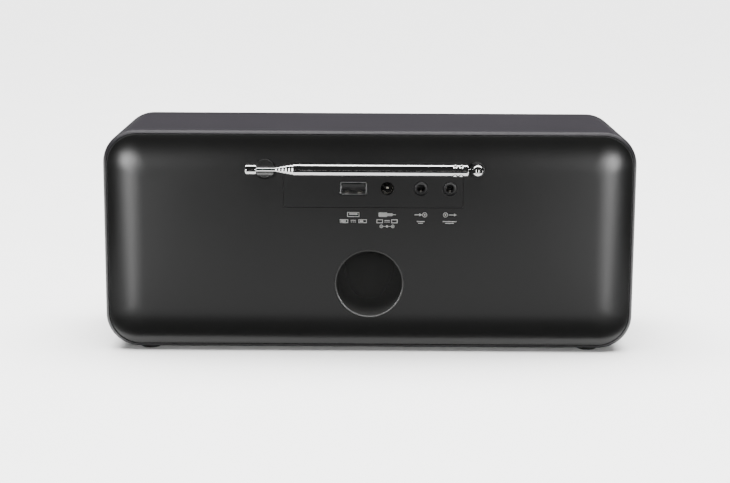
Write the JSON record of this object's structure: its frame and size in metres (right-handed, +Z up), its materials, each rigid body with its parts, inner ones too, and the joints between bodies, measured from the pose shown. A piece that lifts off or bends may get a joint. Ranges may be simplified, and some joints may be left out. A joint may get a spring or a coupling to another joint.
{
  "type": "tabletop radio",
  "caption": "Tabletop stereo radio with rounded cabinet, telescopic aerial folded along the back, recessed sockets, bass port, front display, knobs and buttons.",
  "frame": {"origin": "on the surface it stands on, under the middle of its bounding box", "axes": "+X to the right seen from the front, +Y towards the back, +Z up"},
  "size_m": [0.27, 0.105, 0.1138],
  "materials": {
    "rear_cover": "satin black moulding",
    "cabinet_sleeve": "satin black moulding, very slightly purple",
    "front_panel": "satin black moulding",
    "grille": "black painted perforated steel",
    "lens": "clear window with a black border",
    "black_plastic": "fine matt black",
    "gloss_black": "glossy black",
    "grey_plastic": "grey moulding",
    "rubber": "soft black rubber",
    "chrome": "bright chrome",
    "steel": "plated steel",
    "ferrite": "sintered magnet, dark grey",
    "board": "green solder mask",
    "cone": "coated paper pulp",
    "cable_grey": "grey flat cable",
    "cable_red": "red insulated wire"
  },
  "bodies": {
    "cabinet": {"cabinet_sleeve": "cabinet_sleeve", "rear_cover": "rear_cover", "front_panel": "front_panel", "left_grille": "grille", "right_grille": "grille", "display_lens": "lens", "display_module": "grey_plastic", "control_board": "board", "volume_encoder": "steel", "tuning_encoder": "steel", "bass_port": "gloss_black", "connector_plate": "rear_cover", "usb_socket": "steel", "power_jack": "gloss_black", "aux_in_jack": "black_plastic", "line_out_jack": "black_plastic", "main_board": "board", "tuner_module": "steel", "aerial_base": "black_plastic", "aerial_rest": "gloss_black", "ribbon_cable": "cable_grey", "left_speaker_lead": "cable_red", "right_speaker_lead": "cable_red", "aerial_lead": "black_plastic", "left_speaker_basket": "steel", "left_speaker_magnet": "ferrite", "left_speaker_surround": "rubber", "right_speaker_basket": "steel", "right_speaker_magnet": "ferrite", "right_speaker_surround": "rubber", "rear_left_foot": "rubber", "rear_left_screw": "steel", "rear_right_foot": "rubber", "rear_right_screw": "steel", "front_left_foot": "rubber", "front_left_screw": "steel", "front_right_foot": "rubber", "front_right_screw": "steel"},
    "volume_control": {"volume_shaft": "steel", "volume_knob": "black_plastic"},
    "tuning_rotation": {"tuning_rotor": "grey_plastic"},
    "tuning_control": {"tuning_shaft": "steel", "tuning_knob": "black_plastic"},
    "standby_key": {"standby_button": "black_plastic"},
    "menu_key": {"menu_button": "black_plastic"},
    "preset_key": {"preset_button": "black_plastic"},
    "mode_key": {"mode_button": "black_plastic"},
    "left_speaker_diaphragm": {"left_speaker_cone": "cone"},
    "right_speaker_diaphragm": {"right_speaker_cone": "cone"},
    "aerial_turret": {"aerial_swivel": "chrome", "aerial_pin": "steel"},
    "aerial_arm": {"aerial_lug": "chrome", "aerial_section_1": "chrome"},
    "aerial_stage_2": {"aerial_section_2": "chrome"},
    "aerial_stage_3": {"aerial_section_3": "chrome"},
    "aerial_stage_4": {"aerial_section_4": "chrome"},
    "aerial_stage_5": {"aerial_section_5": "chrome"},
    "aerial_stage_6": {"aerial_section_6": "chrome"},
    "aerial_mast": {"aerial_rod": "chrome", "aerial_tip": "chrome"}
  },
  "joints": [
    {"name": "volume_turn", "type": "hinge", "parent": "cabinet", "child": "volume_control", "pos_m": [-0.038, -0.052, 0.0288], "axis": [0, -1, 0], "continuous": true},
    {"name": "tuning_turn", "type": "hinge", "parent": "cabinet", "child": "tuning_rotation", "pos_m": [0.038, -0.052, 0.0288], "axis": [0, -1, 0], "continuous": true},
    {"name": "tuning_push", "type": "slide", "parent": "tuning_rotation", "child": "tuning_control", "axis": [0, 1, 0], "range_m": [0, 0.0005], "stiffness_N_per_m": 2500, "springref_m": -0.0006},
    {"name": "standby_press", "type": "slide", "parent": "cabinet", "child": "standby_key", "axis": [0, 1, 0], "range_m": [0, 0.0005], "stiffness_N_per_m": 1500, "springref_m": -0.0006},
    {"name": "menu_press", "type": "slide", "parent": "cabinet", "child": "menu_key", "axis": [0, 1, 0], "range_m": [0, 0.0005], "stiffness_N_per_m": 1500, "springref_m": -0.0006},
    {"name": "preset_press", "type": "slide", "parent": "cabinet", "child": "preset_key", "axis": [0, 1, 0], "range_m": [0, 0.0005], "stiffness_N_per_m": 1500, "springref_m": -0.0006},
    {"name": "mode_press", "type": "slide", "parent": "cabinet", "child": "mode_key", "axis": [0, 1, 0], "range_m": [0, 0.0005], "stiffness_N_per_m": 1500, "springref_m": -0.0006},
    {"name": "left_cone_travel", "type": "slide", "parent": "cabinet", "child": "left_speaker_diaphragm", "axis": [0, 1, 0], "range_m": [-0.0015, 0.0015], "stiffness_N_per_m": 1800, "deforming": ["left_speaker_surround"]},
    {"name": "right_cone_travel", "type": "slide", "parent": "cabinet", "child": "right_speaker_diaphragm", "axis": [0, 1, 0], "range_m": [-0.0015, 0.0015], "stiffness_N_per_m": 1800, "deforming": ["right_speaker_surround"]},
    {"name": "aerial_swing", "type": "hinge", "parent": "cabinet", "child": "aerial_turret", "pos_m": [-0.0539, 0.04922, 0.0952], "axis": [0, -1, 0], "range_deg": [0, 180]},
    {"name": "aerial_tilt", "type": "hinge", "parent": "aerial_turret", "child": "aerial_arm", "pos_m": [-0.0539, 0.04922, 0.0952], "axis": [0, 0, 1], "range_deg": [0, 90]},
    {"name": "stage_2_extend", "type": "slide", "parent": "aerial_arm", "child": "aerial_stage_2", "axis": [1, 0, 0], "range_m": [0, 0.07]},
    {"name": "stage_3_extend", "type": "slide", "parent": "aerial_stage_2", "child": "aerial_stage_3", "axis": [1, 0, 0], "range_m": [0, 0.07]},
    {"name": "stage_4_extend", "type": "slide", "parent": "aerial_stage_3", "child": "aerial_stage_4", "axis": [1, 0, 0], "range_m": [0, 0.07]},
    {"name": "stage_5_extend", "type": "slide", "parent": "aerial_stage_4", "child": "aerial_stage_5", "axis": [1, 0, 0], "range_m": [0, 0.07]},
    {"name": "stage_6_extend", "type": "slide", "parent": "aerial_stage_5", "child": "aerial_stage_6", "axis": [1, 0, 0], "range_m": [0, 0.07]},
    {"name": "mast_extend", "type": "slide", "parent": "aerial_stage_6", "child": "aerial_mast", "axis": [1, 0, 0], "range_m": [0, 0.07]}
  ]
}
